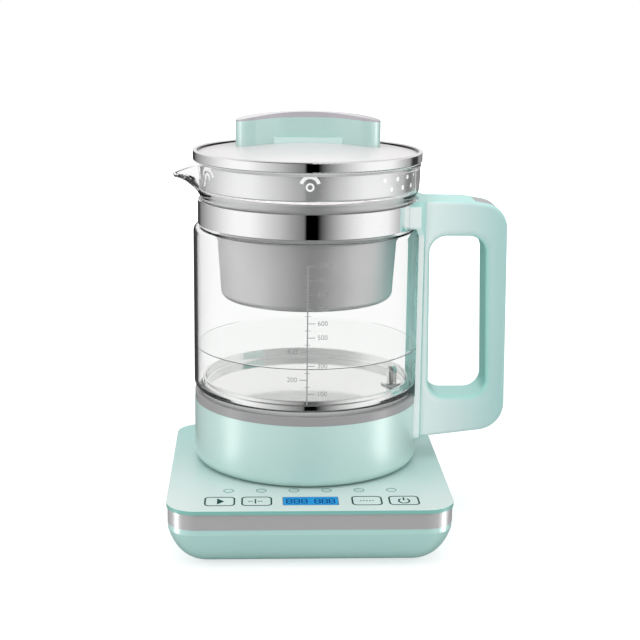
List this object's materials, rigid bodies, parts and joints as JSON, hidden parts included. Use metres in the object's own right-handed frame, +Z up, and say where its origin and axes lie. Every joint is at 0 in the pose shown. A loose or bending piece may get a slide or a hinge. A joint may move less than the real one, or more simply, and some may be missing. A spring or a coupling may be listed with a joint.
{
  "type": "baby formula kettle",
  "caption": "Glass kettle with a heated steel floor, hanging inner bowl and turning lid, lifted by its side handle off a square powered base with touch keys.",
  "frame": {"origin": "on the surface that the base stands on, straight under the kettle's axis", "axes": "+Z up, -Y towards the control panel (the user), +X towards the kettle's handle, -X towards its spout"},
  "size_m": [0.1939, 0.1634, 0.238],
  "materials": {
    "casing_mint": "pearl gloss",
    "casing_grey": "satin",
    "foot_rubber": "matt",
    "screw_steel": "plain",
    "display_glass": "smoked glossy",
    "dark_plastic": "moulded",
    "lens_clear": "diffusing",
    "touch_foil": "foil on foam",
    "circuit_board": "solder mask",
    "can_metal": "drawn can",
    "terminal_white": "ceramic look",
    "contact_brass": "plated",
    "silicone": "translucent matt",
    "trim_grey": "satin",
    "satin_steel": "satin",
    "spreader_aluminium": "rolled",
    "element_steel": "heat tinted",
    "jug_glass": "clear, borosilicate",
    "polished_steel": "polished",
    "bowl_steel": "satin",
    "lid_white": "satin",
    "lid_insert": "glossy, slightly smoky"
  },
  "bodies": {
    "base": {"base_tray": "casing_mint", "foot_ring": "foot_rubber", "base_band": "casing_grey", "base_cover": "casing_mint", "base_screws": "screw_steel", "display_window": "display_glass", "display_module": "dark_plastic", "indicator_lenses": "lens_clear", "indicator_lamps": "lens_clear", "touch_pads": "touch_foil", "control_board": "circuit_board", "control_board_screws": "screw_steel", "buzzer": "dark_plastic", "power_board": "circuit_board", "power_board_screws": "screw_steel", "power_relay": "dark_plastic", "power_transformer": "dark_plastic", "power_capacitor": "can_metal", "mains_terminal": "terminal_white", "cord_gland": "dark_plastic", "coupler_lower": "dark_plastic", "coupler_screws": "screw_steel", "coupler_contacts": "contact_brass", "coupler_seal": "silicone"},
    "coupler": {"coupler_upper": "dark_plastic", "coupler_pin": "contact_brass"},
    "kettle": {"housing": "casing_mint", "bottom_cover": "casing_grey", "retainer_screws": "screw_steel", "coupler_retainer": "dark_plastic", "glass_carrier": "dark_plastic", "housing_screws": "screw_steel", "trim_ring": "trim_grey", "glass_seal": "silicone", "heating_plate": "satin_steel", "heat_spreader": "spreader_aluminium", "heating_element": "element_steel", "thermal_cutouts": "terminal_white", "temperature_probe": "satin_steel", "probe_washer": "silicone", "probe_nut": "screw_steel", "glass_body": "jug_glass", "collar_band": "polished_steel", "collar_liner": "silicone", "handle_shell": "casing_mint", "handle_insert": "trim_grey", "handle_bracket": "screw_steel", "bracket_screw": "screw_steel", "handle_screws": "screw_steel"},
    "inner_bowl": {"inner_bowl": "bowl_steel"},
    "lid_seal": {"lid_seal": "silicone"},
    "lid": {"lid_rim": "polished_steel", "lid_plate": "lid_white", "lid_skirt": "polished_steel", "lid_handle": "casing_mint", "lid_handle_insert": "lid_insert", "lid_handle_base": "casing_mint", "lid_screws": "screw_steel"}
  },
  "joints": [
    {"name": "kettle_lift", "type": "slide", "parent": "base", "child": "coupler", "axis": [0, 0, 1], "range_m": [0, 0.12]},
    {"name": "kettle_swivel", "type": "hinge", "parent": "coupler", "child": "kettle", "pos_m": [0, 0, 0], "axis": [0, 0, 1], "continuous": true},
    {"name": "bowl_lift", "type": "slide", "parent": "kettle", "child": "inner_bowl", "axis": [0, 0, 1], "range_m": [0, 0.1]},
    {"name": "lid_lift", "type": "slide", "parent": "inner_bowl", "child": "lid_seal", "axis": [0, 0, 1], "range_m": [0, 0.06]},
    {"name": "lid_turn", "type": "hinge", "parent": "lid_seal", "child": "lid", "pos_m": [0, 0, 0.2109], "axis": [0, 0, 1], "continuous": true}
  ]
}
